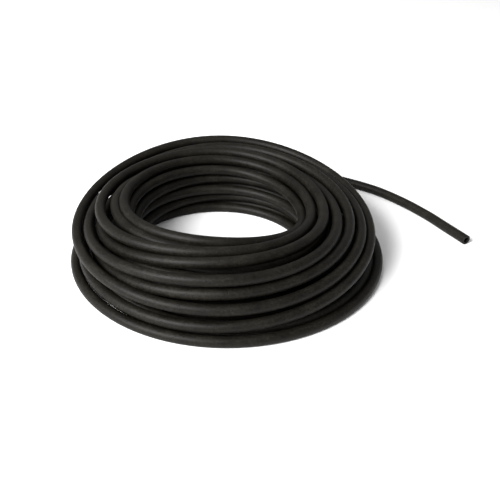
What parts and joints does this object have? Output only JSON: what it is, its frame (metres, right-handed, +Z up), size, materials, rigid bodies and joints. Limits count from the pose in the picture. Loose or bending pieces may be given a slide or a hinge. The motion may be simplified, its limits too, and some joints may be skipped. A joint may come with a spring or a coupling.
{
  "type": "soaker hose coil",
  "caption": "Coil of slim black porous rubber soaker hose lying flat, with a bare open end swept out that bends aside and takes a barbed fitting.",
  "frame": {"origin": "on the floor under the middle of the coil's outermost turn", "axes": "+Z up along the coil's axis, +X towards the free open end"},
  "size_m": [0.2821, 0.2392, 0.0473],
  "materials": {
    "porous_rubber": "matte, finely pitted"
  },
  "bodies": {
    "coil": {"inner_turns": "porous_rubber", "outer_turns": "porous_rubber", "tail_lead": "porous_rubber", "tail_bend": "porous_rubber"},
    "loose_tail": {"tail": "porous_rubber", "open_end": "porous_rubber"}
  },
  "joints": [
    {"name": "tail_swing", "type": "hinge", "parent": "coil", "child": "loose_tail", "pos_m": [-0.04516, 0.10917, 0.0035], "axis": [0, 0, 1], "range_deg": [-8, 45], "stiffness_Nm_per_rad": 0.015, "deforming": ["tail_bend"]}
  ]
}
